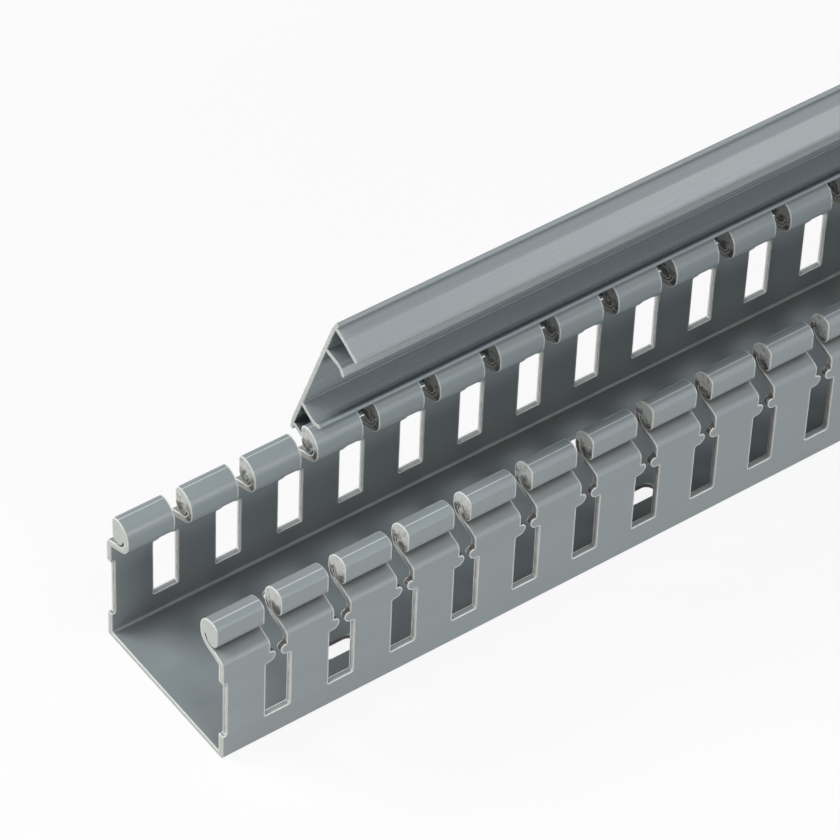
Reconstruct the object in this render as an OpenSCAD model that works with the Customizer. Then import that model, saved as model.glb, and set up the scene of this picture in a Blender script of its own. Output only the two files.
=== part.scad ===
// Slotted wire duct with a hinged cover, cut from long PVC stock.
// X runs along the duct, Y across it, Z up. The origin is the middle of the underside.

/* [Stock] */
// Length of duct and cover
stock_length = 1000; // [200:1:2000]
// How far the cover's end stands back from the duct's end
cover_setback = 61.4; // [0:0.2:180]

/* [Channel] */
// Outside width across the two walls
duct_width = 54; // [44:0.5:80]
// Height of the outer shoulder above the underside
shoulder_height = 36.2; // [30:0.2:70]
// Thickness of the side walls
wall = 1.8; // [1.2:0.1:2.4]
// Thickness of the floor
floor_wall = 1.5; // [1:0.1:2.4]
// Rounding of the outer bottom edges
foot_round = 0.8; // [0.3:0.1:1.4]
// Fillet between floor and wall
floor_fillet = 0.8; // [0.3:0.1:3]
// Rounding over the shoulder
shoulder_round = 1.8; // [0.6:0.1:2.4]

/* [Finger heads] */
// Slope of the neck that leaves the shoulder
neck_slope = 20.5; // [10:0.5:32]
// Thickness of the neck
neck_wall = 1.9; // [1.2:0.1:2.4]
// Distance from the wall's outer face to the head's outer face
head_setback = 2.8; // [1.5:0.1:5]
// Width of the head across the duct
head_width = 7.4; // [6.8:0.1:9]
// Height of the top of the heads above the underside
head_top = 47.5; // [46.2:0.1:49]
// Radius of the bend from neck to head and of the head's inner top
head_bend = 4.8; // [4.4:0.1:5.4]
// Radius under the head's outer lip
lip_round = 2.4; // [1.8:0.1:2.6]
// Rounding of the head's outer top edge
head_edge = 1.8; // [0.4:0.1:2.2]

/* [Slots] */
// Spacing of the slots along the duct
slot_pitch = 20; // [16:0.5:30]
// Width of the window between two fingers
window_width = 8; // [5:0.1:12]
// Height of the window's sill above the underside
sill_height = 8.4; // [5:0.1:16]
// Height of the window's top above the underside
window_top = 28.6; // [24:0.1:30]
// Rounding of the window's corners
window_round = 0.5; // [0.2:0.1:2]
// Gap left between the two noses
nose_gap = 1.7; // [1:0.1:3]
// Upper radius of a nose
nose_round = 1.4; // [0.8:0.1:1.8]
// Radius of the curve that leads up to a nose
nose_ramp = 2.2; // [1.6:0.1:3]
// Width of the slot between two heads
mouth_width = 5.2; // [4:0.1:7]
// How far the first slot's centre lies outside the sawn end
first_slot_out = 2.75; // [0:0.05:3.9]
// Shortest stub of a finger that the saw leaves standing
shortest_stub = 4; // [2:0.5:10]

/* [Mounting slots] */
// Length of a mounting slot from end to end
mount_slot_length = 12; // [8:0.5:20]
// Width of a mounting slot
mount_slot_width = 5; // [3:0.1:8]
// Spacing of the mounting slots along the duct
mount_pitch = 100; // [50:5:200]
// Distance between the two rows
mount_row_spacing = 25.4; // [12:0.2:32]
// Distance from the duct's end to the first slot's centre
mount_first = 46.6; // [15:0.2:100]

/* [Cover] */
// How far each rim stands out beyond the duct's wall
rim_overhang = 1.6; // [1:0.1:4]
// Thickness of the cover
cover_wall = 1.3; // [1:0.1:1.8]
// Width of the bevelled rim along each edge
rim_width = 3.6; // [1:0.1:6]
// How far the rim falls over that width
rim_drop = 0.5; // [0:0.1:1]
// Height left between the heads and the shut cover
cover_gap = 0.2; // [0.1:0.05:0.5]
// Gap between a tongue and the heads with the cover shut
tongue_gap = 0.4; // [0.2:0.05:1]
// Length of the tongues below the panel
tongue_length = 7.9; // [6:0.1:11]
// How far a tongue leans out between root and bulge
tongue_lean = 0.9; // [0:0.1:1.5]
// How far a tongue's tip curls back in
tongue_curl = 1.2; // [0:0.1:2]
// Gap between the hinge lip and the heads with the cover shut
hinge_gap = 1.15; // [0.6:0.05:2]
// Length of the hinge lip below the panel
hinge_lip = 5.6; // [4:0.1:6]
// Gap between the tip of the snap lip and the heads with the cover shut
snap_gap = 0.2; // [0.1:0.05:0.6]
// Length of the snap lip below the panel
snap_lip = 9.9; // [8:0.1:11]
// How far the snap lip leans in between root and tip
snap_lean = 1.4; // [0:0.1:2.5]
// How much thicker the round beads at the tips are than the cover
tip_bead = 0.06; // [0.04:0.02:0.2]

/* [Hinge] */
// Angle between the shut cover and the cover as it stands open
open_angle = 70; // [0:1:74]
// Distance from the hinge axis in to the wall's outer face
hinge_inset = 3.3; // [2.8:0.05:3.8]
// Height of the hinge axis below the top of the heads
hinge_drop = 5.8; // [5.4:0.05:6.2]

/* [Look] */
// Colour of the duct
duct_colour = "#8d9599"; // [#8d9599:Mid grey, #c5c9ca:Light grey, #f0f0ee:White]
// Colour of the cover
cover_colour = "#939b9f"; // [#939b9f:Mid grey, #c9cdce:Light grey, #f3f3f1:White]

/* [Hidden] */
$fn = 48;

// Places across the wall, measured from the duct's middle.
half_width = duct_width / 2;
wall_inside = half_width - wall;
head_outside = half_width - head_setback;
head_inside = head_outside - head_width;
bend_y = head_inside + head_bend;
lip_y = head_outside - lip_round;

// Heights of the bend that turns the neck up, and of the bend at the head's top.
neck_rise = (half_width - bend_y) * tan(neck_slope);
bend_low_z = shoulder_height + neck_rise + (head_bend - neck_wall) / cos(neck_slope);
bend_top_z = head_top - head_bend;
neck_under_z = shoulder_height + wall * tan(neck_slope) - neck_wall / cos(neck_slope);

// Centre of the rounding over the shoulder, and the directions of its two ends.
shoulder_y = half_width - shoulder_round;
shoulder_z = shoulder_height + shoulder_round * (tan(neck_slope) - 1 / cos(neck_slope));

// Centre of the rounding at the head's outer top edge.
edge_y = head_outside - head_edge;
edge_rise = sqrt(pow(head_bend - head_edge, 2) - pow(edge_y - bend_y, 2));
edge_z = bend_top_z + edge_rise;

// Slots.
first_slot = -stock_length / 2 - first_slot_out;
slot_count = floor((stock_length + first_slot_out + window_width / 2) / slot_pitch);
nose_z = window_top + nose_ramp;
clear = 2;
join_angle = 10;

// Mounting slots.
mount_count = floor((stock_length - 2 * mount_slot_length - mount_first) / mount_pitch) + 1;

// The shut cover: panel height and the places of tongues and lips, measured from its middle.
cover_width = duct_width + 2 * rim_overhang;
panel_z = head_top + cover_gap;
tongue_bulge = head_inside - tongue_gap - cover_wall / 2;
tongue_root = tongue_bulge - tongue_lean;
hinge_lip_y = head_outside + hinge_gap + cover_wall / 2;
snap_tip = head_outside + snap_gap + cover_wall / 2;
snap_root = snap_tip + snap_lean;
lip_root_z = panel_z + (cover_wall - rim_drop) / 2;
hinge_y = half_width - hinge_inset;
hinge_z = head_top - hinge_drop;

// A point at a distance and angle from another.
function polar(centre, r, a) = [centre[0] + r * cos(a), centre[1] + r * sin(a)];

// The part of a pie between two angles less than half a turn apart, larger than what it trims.
module wedge(centre, r, a, b) {
    polygon([
        centre,
        polar(centre, 3 * r, a),
        polar(centre, 3 * r, (a + b) / 2),
        polar(centre, 3 * r, b)
    ]);
}

// A pie slice of a disc.
module slice(centre, r, a, b) {
    intersection() {
        translate(centre)
            circle(r);
        wedge(centre, r, a, b);
    }
}

// Wall from the floor to the end of the sloping neck. It reaches a little way into the two curves
// that it joins, so that they are one piece at any size.
module wall_and_slope() {
    bend = [bend_y, bend_low_z];
    shoulder = [shoulder_y, shoulder_z];
    polygon([
        [wall_inside, 0],
        [half_width, 0],
        [half_width, shoulder_z],
        polar(shoulder, shoulder_round / 3, 45 - neck_slope / 2),
        polar(shoulder, shoulder_round, 90 - neck_slope),
        polar(bend, head_bend - neck_wall, 270 - neck_slope),
        polar(bend, head_bend - neck_wall / 2, 270 - neck_slope - join_angle),
        polar(bend, head_bend, 270 - neck_slope),
        [wall_inside, neck_under_z]
    ]);
    slice(shoulder, shoulder_round, 0, 90 - neck_slope);
}

// Bend that turns the neck up into the head.
module neck_bend() {
    bend = [bend_y, bend_low_z];
    difference() {
        slice(bend, head_bend, 180 - join_angle, 270 - neck_slope);
        translate(bend)
            circle(head_bend - neck_wall);
    }
}

// Solid head with its round top, flat outer side and drooping lip.
module head() {
    top = [bend_y, bend_top_z];
    edge = [edge_y, edge_z];
    edge_angle = atan2(edge_z - bend_top_z, edge_y - bend_y);
    slice(top, head_bend, edge_angle, 180);
    polygon([
        [head_inside, bend_low_z],
        [head_outside, bend_low_z],
        [head_outside, edge_z],
        polar(edge, head_edge / 3, edge_angle / 2),
        polar(top, head_bend, edge_angle),
        polar(top, head_bend / 3, 90 + edge_angle / 2),
        [head_inside, bend_top_z]
    ]);
    slice(edge, head_edge, 0, edge_angle);
    translate([lip_y, bend_low_z])
        circle(lip_round);
}

// One side of the channel's section, drawn for the wall at positive Y.
module side_section() {
    wall_and_slope();
    neck_bend();
    head();
    translate([wall_inside - floor_fillet, floor_wall])
        difference() {
            translate([0, -floor_wall / 2])
                square([floor_fillet + wall / 2, floor_fillet + floor_wall / 2]);
            translate([0, floor_fillet])
                circle(floor_fillet);
        }
}

// Whole section of the channel.
module duct_section() {
    difference() {
        union() {
            translate([-half_width, 0])
                square([duct_width, floor_wall]);
            side_section();
            mirror([1, 0])
                side_section();
        }
        for (side = [0, 1])
            mirror([side, 0])
                translate([half_width - foot_round, 0])
                    difference() {
                        translate([0, -1])
                            square([foot_round + 1, foot_round + 1]);
                        translate([0, foot_round])
                            circle(foot_round);
                    }
    }
}

// Outline of one slot: window, throat between the noses, and mouth between the heads.
module slot_outline() {
    ramp_x = nose_gap / 2 + nose_ramp;
    window_height = window_top - sill_height;
    difference() {
        union() {
            translate([-window_width / 2, sill_height + window_round])
                square([window_width, window_height - 2 * window_round]);
            translate([-window_width / 2 + window_round, sill_height])
                square([window_width - 2 * window_round, window_height]);
            for (x = [-1, 1], z = [sill_height + window_round, window_top - window_round])
                translate([x * (window_width / 2 - window_round), z])
                    circle(window_round);
            translate([-ramp_x, window_top - window_round])
                square([2 * ramp_x, nose_ramp + window_round]);
            translate([-mouth_width / 2, nose_z])
                square([mouth_width, head_top + clear - nose_z]);
        }
        for (side = [0, 1])
            mirror([side, 0]) {
                slice([ramp_x, nose_z], nose_ramp, 180, 270);
                translate([nose_gap / 2 + nose_round, nose_z])
                    circle(nose_round);
            }
    }
}

// Cutter for one slot, through both walls at once.
module slot_cutter(x) {
    translate([x, half_width + clear, 0])
        rotate([90, 0, 0])
            linear_extrude(duct_width + 2 * clear)
                slot_outline();
}

// All slots. A stub that is too short to stand drops off at the saw.
module slots() {
    for (k = [0 : slot_count]) {
        x = first_slot + k * slot_pitch;
        stub = stock_length / 2 - x - mouth_width / 2;
        slot_cutter(x);
        if (stub < shortest_stub)
            translate([x, -half_width - clear, sill_height])
                cube([stock_length / 2 - x + clear, duct_width + 2 * clear, head_top]);
    }
}

// Mounting slots through the floor, in two rows.
module mount_slots() {
    reach = (mount_slot_length - mount_slot_width) / 2;
    for (k = [0 : mount_count - 1], row = [-1, 1])
        translate([mount_first - stock_length / 2 + k * mount_pitch, row * mount_row_spacing / 2, -clear])
            linear_extrude(floor_wall + 2 * clear) {
                square([2 * reach, mount_slot_width], center = true);
                for (end = [-1, 1])
                    translate([end * reach, 0])
                        circle(d = mount_slot_width);
            }
}

// The channel: one extrusion with its slots punched through.
module duct_base() {
    color(duct_colour)
        difference() {
            translate([-stock_length / 2, 0, 0])
                rotate([90, 0, 90])
                    linear_extrude(stock_length)
                        duct_section();
            slots();
            mount_slots();
        }
}

// Sideways direction at a point of a path, longer where the path bends.
function unit(v) = v / norm(v);
function before(path, i) = unit(path[max(i, 1)] - path[max(i, 1) - 1]);
function after(path, i) = unit(path[min(i + 1, len(path) - 1)] - path[min(i, len(path) - 2)]);
function middle(path, i) = unit(before(path, i) + after(path, i));
function sideways(path, i) =
    [-middle(path, i)[1], middle(path, i)[0]] / (middle(path, i) * before(path, i));

// A strip of even thickness along a path, with a round bead at its tip.
module strip(path, thickness) {
    last = len(path) - 1;
    polygon(concat(
        [for (i = [0 : last]) path[i] - sideways(path, i) * thickness / 2],
        [for (i = [last : -1 : 0]) path[i] + sideways(path, i) * thickness / 2]
    ));
    translate(path[last])
        circle(d = thickness + tip_bead);
}

// Half of the panel, from its middle to one dropped rim.
module panel_half() {
    middle_z = panel_z + cover_wall / 2;
    strip([
        [0, middle_z],
        [cover_width / 2 - rim_width, middle_z],
        [cover_width / 2 - cover_wall / 2, middle_z - rim_drop]
    ], cover_wall);
}

// Tongue that springs against the inner side of the heads.
module tongue() {
    strip([
        [tongue_root, panel_z + cover_wall / 2],
        [tongue_bulge, panel_z - 0.68 * tongue_length],
        [tongue_bulge - tongue_curl / 6, panel_z - 0.84 * tongue_length],
        [tongue_bulge - tongue_curl, panel_z - tongue_length]
    ], cover_wall);
}

// Lip on the hinge side, which swings in under the heads.
module hinge_side_lip() {
    strip([[hinge_lip_y, lip_root_z], [hinge_lip_y, panel_z - hinge_lip]], cover_wall);
}

// Lip on the free side, which snaps over the heads.
module snap_side_lip() {
    strip([
        [snap_root, lip_root_z],
        [snap_root - snap_lean / 5, panel_z - 0.4 * snap_lip],
        [snap_tip, panel_z - snap_lip]
    ], cover_wall);
}

// Extrusion of each outline along the duct.
module along(length) {
    for (i = [0 : $children - 1])
        rotate([90, 0, 90])
            linear_extrude(length)
                children(i);
}

// The cover as it lies when shut: panel, tongues and lips of one extrusion.
module shut_cover() {
    along(stock_length) {
        panel_half();
        mirror([1, 0])
            panel_half();
        tongue();
        mirror([1, 0])
            tongue();
        hinge_side_lip();
        mirror([1, 0])
            snap_side_lip();
    }
}

// The cover, turned open about the hinge axis over the far row of heads.
module duct_cover() {
    color(cover_colour)
        translate([cover_setback - stock_length / 2, hinge_y, hinge_z])
            rotate([-open_angle, 0, 0])
                translate([0, -hinge_y, -hinge_z])
                    shut_cover();
}

duct_base();
duct_cover();
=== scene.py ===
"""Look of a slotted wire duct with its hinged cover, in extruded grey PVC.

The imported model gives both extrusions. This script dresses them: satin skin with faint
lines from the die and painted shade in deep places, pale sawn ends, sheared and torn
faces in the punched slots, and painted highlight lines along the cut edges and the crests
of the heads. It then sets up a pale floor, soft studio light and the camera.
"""

import logging
from dataclasses import dataclass
from enum import Enum
from math import cos, sin

import bpy
from mathutils import Matrix, Vector


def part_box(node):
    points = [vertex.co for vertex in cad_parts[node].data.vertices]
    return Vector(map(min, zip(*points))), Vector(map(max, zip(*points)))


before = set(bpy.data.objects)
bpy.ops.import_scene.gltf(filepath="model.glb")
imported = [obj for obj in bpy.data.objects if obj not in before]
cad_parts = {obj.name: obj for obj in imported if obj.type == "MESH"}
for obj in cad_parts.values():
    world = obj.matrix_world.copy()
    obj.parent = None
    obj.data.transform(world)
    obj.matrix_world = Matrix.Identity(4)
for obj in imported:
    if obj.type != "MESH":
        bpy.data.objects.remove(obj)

Colour = tuple[float, float, float]
Point = tuple[float, float, float]
Socket = bpy.types.NodeSocket
Value = Socket | float

MM = 0.001
WHITE: Colour = (1.0, 1.0, 1.0)
log = logging.getLogger("duct")


def linear(red: int, green: int, blue: int) -> Colour:
    """Turn a screen colour into the linear one that materials use.

    Args:
        red: red from 0 to 255.
        green: green from 0 to 255.
        blue: blue from 0 to 255.

    Returns:
        The same colour in linear light.
    """
    return tuple(
        c / 12.92 if c <= 0.04045 else ((c + 0.055) / 1.055) ** 2.4
        for c in (red / 255, green / 255, blue / 255)
    )


class Sums(Enum):
    """Arithmetic that the material graphs use."""

    ADD = "ADD"
    SUBTRACT = "SUBTRACT"
    MULTIPLY = "MULTIPLY"
    LARGEST = "MAXIMUM"
    SIZE = "ABSOLUTE"
    BELOW = "LESS_THAN"
    ABOVE = "GREATER_THAN"


@dataclass(frozen=True)
class Ramp:
    """Smooth rise or fall of one value while another goes from low to high."""

    low: float
    high: float
    start: float = 0.0
    end: float = 1.0


class Graph:
    """Nodes of one material or of the world, joined by short calls."""

    def __init__(self, owner: bpy.types.Material | bpy.types.World, output_kind: str) -> None:
        """Start a graph with only its output.

        Args:
            owner: material or world that the nodes belong to.
            output_kind: node type of its output.
        """
        owner.use_nodes = True
        self.tree = owner.node_tree
        self.tree.nodes.clear()
        self.surface = self.node(output_kind).inputs["Surface"]

    def node(self, kind: str, **settings: object) -> bpy.types.Node:
        """Add a node.

        Args:
            kind: node type.
            settings: attributes to set on it.

        Returns:
            The new node.
        """
        made = self.tree.nodes.new(kind)
        for key, value in settings.items():
            setattr(made, key, value)
        return made

    def feed(self, socket: Socket, value: Value | Colour) -> None:
        """Link a socket to another one, or set its number or colour.

        Args:
            socket: input to feed.
            value: output socket, plain number or plain colour.
        """
        if isinstance(value, bpy.types.NodeSocket):
            self.tree.links.new(value, socket)
        else:
            socket.default_value = (*value, 1.0) if isinstance(value, tuple) else value

    def sum(self, kind: Sums, first: Value, *others: Value) -> Socket:
        """Do arithmetic on one value, or on several from the first to the last.

        Args:
            kind: what to work out.
            first: first value.
            others: the values after it, where there are any.

        Returns:
            The result.
        """
        result = first
        for other in others or (0.0,):
            made = self.node("ShaderNodeMath", operation=kind.value)
            self.feed(made.inputs[0], result)
            self.feed(made.inputs[1], other)
            result = made.outputs[0]
        return result

    def remap(self, value: Value, ramp: Ramp) -> Socket:
        """Stretch one range over another, smoothly and without overshoot.

        Args:
            value: what to stretch.
            ramp: the two ranges.

        Returns:
            The stretched value.
        """
        made = self.node("ShaderNodeMapRange", interpolation_type="SMOOTHSTEP", clamp=True)
        for socket, part in zip(made.inputs, (value, ramp.low, ramp.high, ramp.start, ramp.end)):
            self.feed(socket, part)
        return made.outputs[0]

    def between(self, value: Socket, low: float, high: float) -> Socket:
        """Say where a value lies between two limits.

        Args:
            value: what to look at.
            low: lower limit.
            high: upper limit.

        Returns:
            1 between the limits and 0 elsewhere.
        """
        above = self.sum(Sums.ABOVE, value, low)
        below = self.sum(Sums.BELOW, value, high)
        return self.sum(Sums.MULTIPLY, above, below)

    def blend(self, amount: Value, first: Socket | Colour, second: Socket | Colour) -> Socket:
        """Mix two colours.

        Args:
            amount: share of the second colour.
            first: first colour.
            second: second colour.

        Returns:
            The mixed colour.
        """
        made = self.node("ShaderNodeMix", data_type="RGBA")
        self.feed(made.inputs[0], amount)
        self.feed(made.inputs[6], first)
        self.feed(made.inputs[7], second)
        return made.outputs[2]

    def mix_numbers(self, amount: Value, first: Value, second: Value) -> Socket:
        """Mix two numbers.

        Args:
            amount: share of the second number.
            first: first number.
            second: second number.

        Returns:
            The mixed number.
        """
        made = self.node("ShaderNodeMix", data_type="FLOAT")
        self.feed(made.inputs[0], amount)
        self.feed(made.inputs[2], first)
        self.feed(made.inputs[3], second)
        return made.outputs[0]

    def mix_shaders(self, amount: Value, first: Socket, second: Socket) -> Socket:
        """Mix two shaders.

        Args:
            amount: share of the second shader.
            first: first shader.
            second: second shader.

        Returns:
            The mixed shader.
        """
        made = self.node("ShaderNodeMixShader")
        self.feed(made.inputs[0], amount)
        self.feed(made.inputs[1], first)
        self.feed(made.inputs[2], second)
        return made.outputs[0]

    def parts(self, vector: Socket) -> tuple[Socket, Socket, Socket]:
        """Split a vector.

        Args:
            vector: place or direction.

        Returns:
            Its three parts.
        """
        made = self.node("ShaderNodeSeparateXYZ")
        self.feed(made.inputs[0], vector)
        return tuple(made.outputs)


@dataclass(frozen=True)
class Pattern:
    """Soft noise over the surface."""

    pitch: float
    stretch: Point | None = None
    detail: float = 2.0
    layer_strength: float = 0.5

    def read(self, graph: Graph, place: Socket) -> Socket:
        """Read the noise at a place.

        Args:
            graph: material graph.
            place: place on the object.

        Returns:
            A value round 0.5.
        """
        if self.stretch is not None:
            scaled = graph.node("ShaderNodeMapping")
            scaled.inputs["Scale"].default_value = self.stretch
            graph.feed(scaled.inputs["Vector"], place)
            place = scaled.outputs[0]
        made = graph.node("ShaderNodeTexNoise")
        graph.feed(made.inputs["Vector"], place)
        graph.feed(made.inputs["Scale"], 1.0 / self.pitch)
        graph.feed(made.inputs["Detail"], self.detail)
        graph.feed(made.inputs["Roughness"], self.layer_strength)
        return made.outputs["Fac"]


@dataclass(frozen=True)
class Skin:
    """Extruded skin of the PVC, satin, with faint lines from the die."""

    # Base tone, the tone that clouds and lines drift to, and the painted shade colour of deep
    # places.
    colour: Colour
    cloud_colour: Colour
    painted_shade_colour: Colour
    roughness: float = 0.36
    roughness_spread: float = 0.10
    specular: float = 0.46
    ior: float = 1.53
    # Each pattern has a depth, which gives relief, or a tone, which gives colour, or both.
    lines: Pattern = Pattern(0.9 * MM, stretch=(0.004, 1.0, 1.0), layer_strength=0.6)
    line_depth: float = 0.004 * MM
    line_tone: Ramp = Ramp(0.30, 0.70, 0.0, 0.25)
    waves: Pattern = Pattern(5.0 * MM, stretch=(0.03, 1.0, 1.0), detail=1.0, layer_strength=0.4)
    wave_depth: float = 0.06 * MM
    wave_tone: Ramp = Ramp(0.25, 0.75, 0.0, 0.35)
    grain: Pattern = Pattern(0.35 * MM)
    grain_depth: float = 0.003 * MM
    clouds: Pattern = Pattern(26 * MM, stretch=(0.35, 1.0, 1.0), detail=3.0, layer_strength=0.55)
    cloud_tone: Ramp = Ramp(0.30, 0.70, 0.0, 0.40)
    # Painted shade: how far a point looks for walls round it, and the openness that counts as
    # deep.
    painted_shade_reach: float = 34 * MM
    painted_shade_depth: Ramp = Ramp(0.80, 0.42)


@dataclass(frozen=True)
class Cut:
    """Surface that a blade leaves: pale where it sheared, darker where it tore."""

    pale: Colour
    dark: Colour
    streaks: Pattern
    roughness: float = 0.62
    streak_depth: float = 0.012 * MM
    # How much streaks and blotches push the surface towards its dark or pale colour.
    streak_marks: Ramp = Ramp(0.30, 0.70, -0.22, 0.22)
    blotches: Pattern = Pattern(2.2 * MM)
    blotch_marks: Ramp = Ramp(0.30, 0.70, -0.12, 0.12)


@dataclass(frozen=True)
class Edge:
    """Rounded edges with a painted highlight line, bright where they were cut, faint along the
    extrusion.
    """

    colour: Colour
    radius: float = 0.64 * MM
    cut_strength: float = 1.0
    die_strength: float = 0.12
    # From an edge-rounded normal that agrees with the true one to one that leans away.
    bend: Ramp = Ramp(0.997, 0.962)
    # How far the rounded normal turns along the duct, which tells cut edges from others.
    crosses: Ramp = Ramp(0.10, 0.30)
    # Only outer edges lie open: how far to look, and the openness that an edge needs.
    reach_in_radii: float = 2.5
    openness: Ramp = Ramp(0.62, 0.86)
    # Grain breaks up the painted highlight line.
    highlight_breakup: Ramp = Ramp(0.2, 0.6, 0.85, 1.0)


@dataclass(frozen=True)
class Zones:
    """Where the cut surfaces of the base lie, and how far each cut sheared or tore there."""

    # Distances from the middle of the underside that bound the surfaces.
    wall_inside: float = 25.2 * MM
    wall_low: float = 4.0 * MM
    wall_high: float = 34.0 * MM
    floor_low: float = 0.05 * MM
    floor_high: float = 1.4 * MM
    floor_width: float = 22.0 * MM
    nose_low: float = 30.4 * MM
    nose_high: float = 33.0 * MM
    neck_low: float = 33.4 * MM
    head_low: float = 38.6 * MM
    # Painted highlight line along the crest of the heads: its place, and how it fades sideways.
    crest_z: float = 47.2 * MM
    crest_y: float = 21.8 * MM
    crest_line: Ramp = Ramp(0.098 * MM, 0.28 * MM, 0.42, 0.0)
    # How much of the cut shows over the skin on sills and necks.
    sill_share: Ramp = Ramp(10.0 * MM, 14.0 * MM, 0.25, 1.0)
    neck_share: float = 0.65
    # How far each cut sheared: 0 is torn and dark, 1 is sheared and pale.
    wall_shear: Ramp = Ramp(25.2 * MM, 27.0 * MM, 0.05, 1.1)
    # On the head ends the cut face is darker towards the bottom and paler towards the top.
    head_paler_upward: Ramp = Ramp(38.6 * MM, 45.6 * MM)
    neck_shear: float = 0.55
    nose_shear: float = 0.10


# Marks that the three kinds of cut leave.
SAW_STREAKS = Pattern(0.45 * MM, stretch=(1.0, 0.12, 1.0), layer_strength=0.55)
PUNCH_STREAKS = Pattern(0.45 * MM, stretch=(0.08, 1.0, 0.08), layer_strength=0.55)
TEAR_STREAKS = Pattern(0.45 * MM, stretch=(1.0, 0.35, 0.6), layer_strength=0.55)
# How far a surface faces along the duct, or away from the axis it is tested on.
FACES_ALONG = Ramp(0.30, 0.60)
FACES_STRAIGHT_ALONG = Ramp(0.6, 0.9)
FACES_AWAY = Ramp(0.6, 0.3)
# How near to an end of the duct a surface counts as sawn.
SAWN_DEPTH = 0.3 * MM
EVEN_CUT = 0.5
BEVEL_SAMPLES = 8
OPENNESS_SAMPLES = 6
MATERIAL_OUTPUT = "ShaderNodeOutputMaterial"
WORLD_OUTPUT = "ShaderNodeOutputWorld"


@dataclass(frozen=True)
class Spot:
    """A point of the surface as the material sees it, on the object."""

    place: Socket
    x: Socket
    y: Socket
    z: Socket
    facing_x: Socket
    facing_y: Socket
    facing_z: Socket
    soft: Socket
    soft_x: Socket
    bend: Socket


@dataclass(frozen=True)
class PvcFinish:
    """Whole finish of one extrusion: skin, sawn ends, punched slots and edges."""

    name: str
    skin: Skin
    sawn: Cut
    punched: Cut
    edge: Edge
    torn: Cut | None = None
    zones: Zones | None = None

    def look(self, graph: Graph) -> Spot:
        """Read the place, the direction and the nearest edge of a point.

        Args:
            graph: material graph.

        Returns:
            What the other steps need to know of the point.
        """
        sight = graph.node("ShaderNodeTexCoord")
        x, y, z = graph.parts(sight.outputs["Object"])
        facing_x, facing_y, facing_z = graph.parts(sight.outputs["Normal"])
        soft = graph.node("ShaderNodeBevel", samples=BEVEL_SAMPLES)
        soft.inputs["Radius"].default_value = self.edge.radius
        on_object = graph.node(
            "ShaderNodeVectorTransform",
            vector_type="NORMAL",
            convert_from="WORLD",
            convert_to="OBJECT",
        )
        graph.feed(on_object.inputs[0], soft.outputs[0])
        match = graph.node("ShaderNodeVectorMath", operation="DOT_PRODUCT")
        graph.feed(match.inputs[0], on_object.outputs[0])
        graph.feed(match.inputs[1], sight.outputs["Normal"])
        return Spot(
            place=sight.outputs["Object"],
            x=x,
            y=graph.sum(Sums.SIZE, y),
            z=z,
            facing_x=graph.sum(Sums.SIZE, facing_x),
            facing_y=graph.sum(Sums.SIZE, facing_y),
            facing_z=graph.sum(Sums.SIZE, facing_z),
            soft=soft.outputs[0],
            soft_x=graph.sum(Sums.SIZE, graph.parts(on_object.outputs[0])[0]),
            bend=graph.remap(match.outputs["Value"], self.edge.bend),
        )

    def in_wall(self, graph: Graph, spot: Spot) -> Socket:
        """Find the flat part of the side walls, which the slots cross.

        Args:
            graph: material graph.
            spot: the point looked at.

        Returns:
            1 there and 0 elsewhere.
        """
        return graph.sum(
            Sums.MULTIPLY,
            graph.sum(Sums.ABOVE, spot.y, self.zones.wall_inside - self.edge.radius),
            graph.between(spot.z, self.zones.wall_low, self.zones.wall_high),
        )

    def in_floor(self, graph: Graph, spot: Spot) -> Socket:
        """Find the inside of the floor, which the mounting slots cross.

        Args:
            graph: material graph.
            spot: the point looked at.

        Returns:
            1 there and 0 elsewhere.
        """
        return graph.sum(
            Sums.MULTIPLY,
            graph.sum(Sums.BELOW, spot.y, self.zones.floor_width),
            graph.between(spot.z, self.zones.floor_low, self.zones.floor_high),
        )

    def punched_share(self, graph: Graph, spot: Spot) -> Socket:
        """Find the surfaces that the slot punches cut.

        Args:
            graph: material graph.
            spot: the point looked at.

        Returns:
            1 on punched surfaces and 0 elsewhere.
        """
        along = graph.remap(spot.facing_x, FACES_ALONG)
        if self.zones is None:
            return along
        sill = graph.sum(
            Sums.MULTIPLY,
            self.in_wall(graph, spot),
            graph.remap(spot.facing_y, FACES_AWAY),
            graph.remap(spot.z, self.zones.sill_share),
        )
        rim = graph.sum(
            Sums.MULTIPLY, self.in_floor(graph, spot), graph.remap(spot.facing_z, FACES_AWAY)
        )
        return graph.sum(Sums.LARGEST, along, graph.sum(Sums.LARGEST, sill, rim))

    def sawn_share(self, graph: Graph, spot: Spot, ends: tuple[float, float]) -> Socket:
        """Find the two end faces that the saw cut.

        Args:
            graph: material graph.
            spot: the point looked at.
            ends: where the two end faces lie along the duct.

        Returns:
            1 on sawn surfaces and 0 elsewhere.
        """
        along = graph.remap(spot.facing_x, FACES_STRAIGHT_ALONG)
        near_low = graph.sum(Sums.BELOW, spot.x, ends[0] + SAWN_DEPTH)
        near_high = graph.sum(Sums.ABOVE, spot.x, ends[1] - SAWN_DEPTH)
        return graph.sum(Sums.MULTIPLY, along, graph.sum(Sums.ADD, near_low, near_high))

    def edge_highlight_share(self, graph: Graph, spot: Spot) -> Socket:
        """Find the painted highlight line along the outer edges.

        Args:
            graph: material graph.
            spot: the point looked at.

        Returns:
            How much of the edge colour shows.
        """
        edge = self.edge
        open_air = graph.node("ShaderNodeAmbientOcclusion", samples=OPENNESS_SAMPLES)
        open_air.inputs["Distance"].default_value = edge.reach_in_radii * edge.radius
        outer = graph.remap(open_air.outputs["AO"], edge.openness)
        cut = graph.remap(spot.soft_x, edge.crosses)
        if self.zones is not None:
            cut = graph.sum(Sums.LARGEST, cut, self.in_wall(graph, spot))
        strength = graph.remap(cut, Ramp(0.0, 1.0, edge.die_strength, edge.cut_strength))
        return graph.sum(Sums.MULTIPLY, spot.bend, outer, strength)

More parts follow.
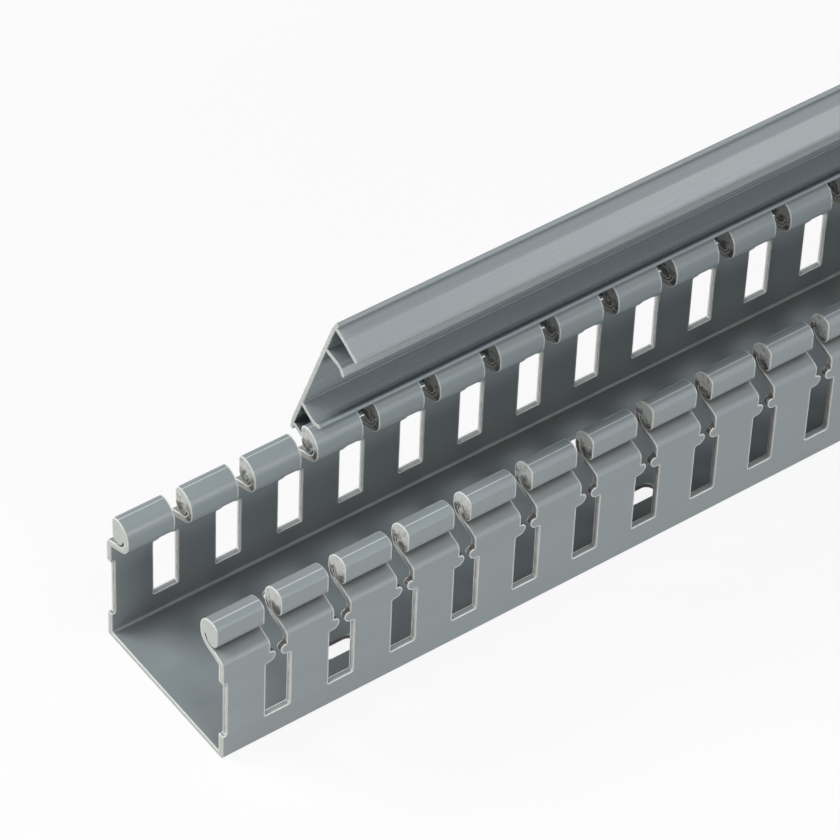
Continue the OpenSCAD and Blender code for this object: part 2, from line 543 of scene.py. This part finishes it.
    def painted_shade_share(self, graph: Graph) -> Socket:
        """Find the deep places of the extrusion, where shade is painted into the skin.

        Args:
            graph: material graph.

        Returns:
            0 on open surfaces and 1 in the deepest places.
        """
        sky = graph.node(
            "ShaderNodeAmbientOcclusion", samples=OPENNESS_SAMPLES, only_local=True
        )
        sky.inputs["Distance"].default_value = self.skin.painted_shade_reach
        return graph.remap(sky.outputs["AO"], self.skin.painted_shade_depth)

    def crest_highlight_share(self, graph: Graph, spot: Spot, punched: Socket) -> Socket:
        """Find the painted highlight line along the crest of the heads.

        Args:
            graph: material graph.
            spot: the point looked at.
            punched: share of punched surface.

        Returns:
            How much of the edge colour shows there.
        """
        away = graph.sum(Sums.SIZE, graph.sum(Sums.SUBTRACT, spot.y, self.zones.crest_y))
        line = graph.remap(away, self.zones.crest_line)
        on_top = graph.sum(Sums.ABOVE, spot.z, self.zones.crest_z)
        skin = graph.remap(punched, Ramp(0.0, 1.0, 1.0, 0.0))
        return graph.sum(Sums.MULTIPLY, line, graph.sum(Sums.MULTIPLY, on_top, skin))

    def cut_face(
        self, graph: Graph, spot: Spot, cut: Cut, depth: Value
    ) -> tuple[Socket, Socket]:
        """Draw a cut face, from its torn to its sheared side.

        Args:
            graph: material graph.
            spot: the point looked at.
            cut: which cut it is.
            depth: 0 on the torn side and 1 on the sheared side.

        Returns:
            The colour and the height of the streaks.
        """
        streaks = cut.streaks.read(graph, spot.place)
        blotches = cut.blotches.read(graph, spot.place)
        marks = graph.sum(
            Sums.ADD,
            graph.remap(streaks, cut.streak_marks),
            graph.remap(blotches, cut.blotch_marks),
        )
        amount = graph.remap(graph.sum(Sums.ADD, depth, marks), Ramp(0.0, 1.0))
        colour = graph.blend(amount, cut.dark, cut.pale)
        return colour, graph.sum(Sums.MULTIPLY, streaks, cut.streak_depth)

    def cut_faces(
        self, graph: Graph, spot: Spot, punched: Socket, sawn: Socket
    ) -> list[tuple[Socket, Cut, Value]]:
        """List the cut faces in the order in which they cover the skin.

        Args:
            graph: material graph.
            spot: the point looked at.
            punched: share of punched surface.
            sawn: share of sawn surface.

        Returns:
            For each kind its share, its finish and how far it sheared.
        """
        ends = (sawn, self.sawn, EVEN_CUT)
        zones = self.zones
        if zones is None:
            return [(punched, self.punched, EVEN_CUT), ends]
        neck = graph.between(spot.z, zones.neck_low, zones.head_low)
        nose = graph.between(spot.z, zones.nose_low, zones.nose_high)
        head = graph.sum(Sums.ABOVE, spot.z, zones.head_low)
        less_on_neck = graph.remap(neck, Ramp(0.0, 1.0, 1.0, zones.neck_share))
        sheared = graph.sum(
            Sums.LARGEST,
            graph.remap(spot.y, zones.wall_shear),
            graph.remap(neck, Ramp(0.0, 1.0, 0.0, zones.neck_shear)),
        )
        return [
            (graph.sum(Sums.MULTIPLY, punched, less_on_neck), self.punched, sheared),
            (graph.sum(Sums.MULTIPLY, punched, nose), self.torn, zones.nose_shear),
            (
                graph.sum(Sums.MULTIPLY, punched, head),
                self.torn,
                graph.remap(spot.z, zones.head_paler_upward),
            ),
            ends,
        ]

    def material(self, ends: tuple[float, float]) -> bpy.types.Material:
        """Build the material.

        Args:
            ends: where the two sawn faces lie along the duct.

        Returns:
            The finished material.
        """
        made = bpy.data.materials.new(self.name)
        graph = Graph(made, MATERIAL_OUTPUT)
        skin = self.skin
        spot = self.look(graph)
        punched = self.punched_share(graph, spot)
        sawn = self.sawn_share(graph, spot, ends)
        edge = self.edge_highlight_share(graph, spot)

        lines = skin.lines.read(graph, spot.place)
        waves = skin.waves.read(graph, spot.place)
        grain = skin.grain.read(graph, spot.place)
        clouds = skin.clouds.read(graph, spot.place)
        streaky = graph.sum(
            Sums.ADD, graph.remap(lines, skin.line_tone), graph.remap(waves, skin.wave_tone)
        )
        tone = graph.sum(Sums.ADD, graph.remap(clouds, skin.cloud_tone), streaky)
        colour = graph.blend(tone, skin.colour, skin.cloud_colour)
        # Painted shade: the skin turns darker in deep places.
        colour = graph.blend(self.painted_shade_share(graph), colour, skin.painted_shade_colour)
        ripple = graph.sum(
            Sums.ADD,
            graph.sum(Sums.MULTIPLY, waves, skin.wave_depth),
            graph.sum(Sums.MULTIPLY, grain, skin.grain_depth),
        )
        height = graph.sum(
            Sums.ADD, graph.sum(Sums.MULTIPLY, lines, skin.line_depth), ripple
        )

        for share, cut, depth in self.cut_faces(graph, spot, punched, sawn):
            face, streaks = self.cut_face(graph, spot, cut, depth)
            colour = graph.blend(share, colour, face)
            height = graph.sum(Sums.ADD, height, graph.sum(Sums.MULTIPLY, streaks, share))
        # Painted highlight: the edges and the crest line lighten towards the edge colour.
        bright = graph.sum(Sums.MULTIPLY, edge, graph.remap(grain, self.edge.highlight_breakup))
        if self.zones is not None:
            # Painted highlight line along the crest of the heads.
            bright = graph.sum(Sums.LARGEST, bright, self.crest_highlight_share(graph, spot, punched))
        colour = graph.blend(bright, colour, self.edge.colour)

        spread = skin.roughness_spread / 2
        satin = graph.remap(
            lines, Ramp(0.25, 0.75, skin.roughness - spread, skin.roughness + spread)
        )
        rough = graph.mix_numbers(
            graph.sum(Sums.LARGEST, punched, sawn), satin, self.punched.roughness
        )
        bump = graph.node("ShaderNodeBump")
        graph.feed(bump.inputs["Distance"], 1.0)
        graph.feed(bump.inputs["Strength"], 1.0)
        graph.feed(bump.inputs["Height"], height)
        graph.feed(bump.inputs["Normal"], spot.soft)
        shader = graph.node("ShaderNodeBsdfPrincipled")
        graph.feed(shader.inputs["IOR"], skin.ior)
        graph.feed(shader.inputs["Specular IOR Level"], skin.specular)
        graph.feed(shader.inputs["Base Color"], colour)
        graph.feed(shader.inputs["Roughness"], rough)
        graph.feed(shader.inputs["Normal"], bump.outputs[0])
        graph.feed(graph.surface, shader.outputs[0])
        return made


@dataclass
class Extrusion:
    """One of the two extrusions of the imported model, with its finish."""

    node: str
    finish: PvcFinish

    def dress(self) -> bpy.types.Object:
        """Give the extrusion its finish.

        Returns:
            The dressed object.
        """
        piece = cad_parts[self.node]
        low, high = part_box(self.node)
        coat = self.finish.material((low[0], high[0]))
        if not piece.data.materials:
            piece.data.materials.append(coat)
        for slot in piece.material_slots:
            slot.material = coat
        return piece


BASE_FINISH = PvcFinish(
    name="duct_pvc",
    skin=Skin(
        colour=linear(142, 151, 155),
        cloud_colour=linear(148, 157, 160),
        # Colour of the painted shade in deep places.
        painted_shade_colour=linear(98, 96, 94),
    ),
    sawn=Cut(linear(214, 220, 215), linear(198, 206, 201), SAW_STREAKS),
    punched=Cut(linear(214, 216, 211), linear(150, 154, 152), PUNCH_STREAKS),
    torn=Cut(
        linear(216, 219, 215),
        linear(88, 86, 83),
        TEAR_STREAKS,
        blotch_marks=Ramp(0.30, 0.70, -0.32, 0.32),
    ),
    # Colour of the painted highlight along the edges.
    edge=Edge(colour=linear(252, 254, 250)),
    zones=Zones(),
)
COVER_CUT = Cut(linear(218, 225, 220), linear(194, 202, 197), SAW_STREAKS)
COVER_FINISH = PvcFinish(
    name="cover_pvc",
    skin=Skin(
        colour=linear(146, 155, 159),
        cloud_colour=linear(152, 161, 164),
        # Colour of the painted shade in deep places.
        painted_shade_colour=linear(106, 113, 118),
        roughness=0.27,
        roughness_spread=0.03,
        lines=Pattern(1.2 * MM, stretch=(0.004, 1.0, 1.0), layer_strength=0.6),
        line_depth=0.001 * MM,
        wave_depth=0.02 * MM,
    ),
    sawn=COVER_CUT,
    punched=COVER_CUT,
    # Colour of the painted highlight along the edges.
    edge=Edge(colour=linear(232, 237, 234), radius=0.32 * MM, die_strength=0.70),
)


@dataclass
class DuctBase(Extrusion):
    """The slotted channel with its rows of fingers."""

    node: str = "duct_base"
    finish: PvcFinish = BASE_FINISH


@dataclass
class DuctCover(Extrusion):
    """The snap cover, standing open on the far row of fingers."""

    node: str = "duct_cover"
    finish: PvcFinish = COVER_FINISH


@dataclass(frozen=True)
class Lamp:
    """One soft lamp of the studio."""

    name: str
    place: Point
    aim: Point
    width: float
    height: float
    power: float

    def build(self) -> bpy.types.Object:
        """Hang the lamp.

        Returns:
            The lamp object.
        """
        data = bpy.data.lights.new(self.name, "AREA")
        data.shape = "RECTANGLE"
        data.size = self.width
        data.size_y = self.height
        data.energy = self.power
        lamp = bpy.data.objects.new(self.name, data)
        lamp.location = self.place
        sight = Vector(self.aim) - Vector(self.place)
        lamp.rotation_euler = sight.to_track_quat("-Z", "Y").to_euler()
        bpy.context.scene.collection.objects.link(lamp)
        return lamp


LAMP_AIM: Point = (-0.38, 0.0, 0.04)


@dataclass
class Studio:
    """Pale floor, white surround and soft lamps.

    To the eye and in gloss the floor is partly a glow, so that it looks white while its
    shadows stay. The other rays see only its paint in the bounce colour.
    """

    floor_size: float = 8.0
    floor_drop: float = 0.05 * MM
    floor_colour: Colour = (0.95, 0.95, 0.95)
    bounce_colour: Colour = (0.48, 0.44, 0.41)
    glow_to_eye: float = 0.88
    glow_in_gloss: float = 0.30
    surround: float = 0.035
    lamps: tuple[Lamp, ...] = (
        Lamp("lamp_front", (-0.38, -1.88, 0.72), LAMP_AIM, 1.4, 0.6, 25.0),
        Lamp("lamp_behind_left", (-1.59, 1.21, 1.08), LAMP_AIM, 1.0, 0.8, 29.0),
        Lamp("lamp_above_left", (-1.38, 0.10, 1.77), LAMP_AIM, 0.9, 0.8, 8.0),
        Lamp("lamp_strip", (0.70, -0.67, 1.68), (-0.20, 0.0, 0.08), 1.0, 0.2, 5.0),
    )

    def gloss_rays(self, graph: Graph, rays: bpy.types.Node) -> Socket:
        """Find the rays that reach something through gloss or through clear material.

        Args:
            graph: graph of the floor or the surround.
            rays: its light path.

        Returns:
            1 for such rays and 0 for others.
        """
        return graph.sum(
            Sums.LARGEST, rays.outputs["Is Glossy Ray"], rays.outputs["Is Transmission Ray"]
        )

    def floor_material(self) -> bpy.types.Material:
        """Make the floor: white to the eye, with a soft shadow.

        Returns:
            The floor's material.
        """
        made = bpy.data.materials.new("studio_floor")
        graph = Graph(made, MATERIAL_OUTPUT)
        rays = graph.node("ShaderNodeLightPath")
        to_eye = rays.outputs["Is Camera Ray"]
        in_gloss = self.gloss_rays(graph, rays)
        share = graph.sum(
            Sums.ADD,
            graph.sum(Sums.MULTIPLY, to_eye, self.glow_to_eye),
            graph.sum(Sums.MULTIPLY, in_gloss, self.glow_in_gloss),
        )
        seen = graph.sum(Sums.LARGEST, to_eye, in_gloss)
        paint = graph.node("ShaderNodeBsdfDiffuse")
        graph.feed(paint.inputs["Color"], graph.blend(seen, self.bounce_colour, self.floor_colour))
        glow = graph.node("ShaderNodeEmission")
        graph.feed(glow.inputs["Color"], WHITE)
        graph.feed(glow.inputs["Strength"], 1.0)
        graph.feed(graph.surface, graph.mix_shaders(share, paint.outputs[0], glow.outputs[0]))
        return made

    def build_floor(self) -> bpy.types.Object:
        """Lay the floor under the duct.

        Returns:
            The floor object.
        """
        half = self.floor_size / 2
        corners = ((-half, -half), (half, -half), (half, half), (-half, half))
        mesh = bpy.data.meshes.new("studio_floor")
        mesh.from_pydata([(x, y, -self.floor_drop) for x, y in corners], [], [(0, 1, 2, 3)])
        mesh.materials.append(self.floor_material())
        floor = bpy.data.objects.new("studio_floor", mesh)
        bpy.context.scene.collection.objects.link(floor)
        return floor

    def background(self, graph: Graph, strength: float) -> Socket:
        """Make a plain white background.

        Args:
            graph: graph of the surround.
            strength: how bright it is.

        Returns:
            Its shader.
        """
        made = graph.node("ShaderNodeBackground")
        graph.feed(made.inputs["Color"], WHITE)
        graph.feed(made.inputs["Strength"], strength)
        return made.outputs[0]

    def build_surround(self) -> bpy.types.World:
        """Set a surround that is white to the eye and lights the duct faintly and evenly.

        Returns:
            The world.
        """
        world = bpy.data.worlds.new("studio_surround")
        graph = Graph(world, WORLD_OUTPUT)
        rays = graph.node("ShaderNodeLightPath")
        seen = graph.sum(
            Sums.LARGEST, rays.outputs["Is Camera Ray"], self.gloss_rays(graph, rays)
        )
        soft = self.background(graph, self.surround)
        white = self.background(graph, 1.0)
        graph.feed(graph.surface, graph.mix_shaders(seen, soft, white))
        bpy.context.scene.world = world
        return world

    def build(self) -> None:
        """Build the floor, the surround and the lamps."""
        self.build_floor()
        self.build_surround()
        for lamp in self.lamps:
            lamp.build()


@dataclass(frozen=True)
class PhotoCamera:
    """Camera where the photograph was taken from, with its long lens."""

    place: Point = (-0.991959, -0.746594, 1.001932)
    heading: float = 0.654153
    downward: float = 0.787472
    roll: float = 0.043142
    lens: float = 218.4
    sensor: float = 36.0

    def build(self) -> bpy.types.Object:
        """Set up the camera and make it the scene's own.

        Returns:
            The camera object.
        """
        sight = Vector((
            sin(self.heading) * cos(self.downward),
            cos(self.heading) * cos(self.downward),
            -sin(self.downward),
        ))
        level = Vector((cos(self.heading), -sin(self.heading), 0.0))
        upright = level.cross(sight)
        right = level * cos(self.roll) + upright * sin(self.roll)
        top = upright * cos(self.roll) - level * sin(self.roll)
        turn = Matrix((right, top, -sight)).transposed().to_4x4()
        data = bpy.data.cameras.new("photo_camera")
        data.sensor_width = self.sensor
        data.lens = self.lens
        camera = bpy.data.objects.new("photo_camera", data)
        camera.matrix_world = Matrix.Translation(self.place) @ turn
        bpy.context.scene.collection.objects.link(camera)
        bpy.context.scene.camera = camera
        return camera


def main() -> None:
    """Dress both extrusions, then set up the studio and the camera."""
    logging.basicConfig(level=logging.INFO, format="%(name)s: %(message)s")
    bpy.context.scene.view_settings.view_transform = "Standard"
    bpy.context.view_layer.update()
    for extrusion in (DuctBase(), DuctCover()):
        piece = extrusion.dress()
        faces = len(piece.data.polygons)
        log.info("%s dressed in %s, %d faces", piece.name, extrusion.finish.name, faces)
    Studio().build()
    log.info("studio set up")
    PhotoCamera().build()
    log.info("camera set up")


if __name__ == "__main__":
    main()
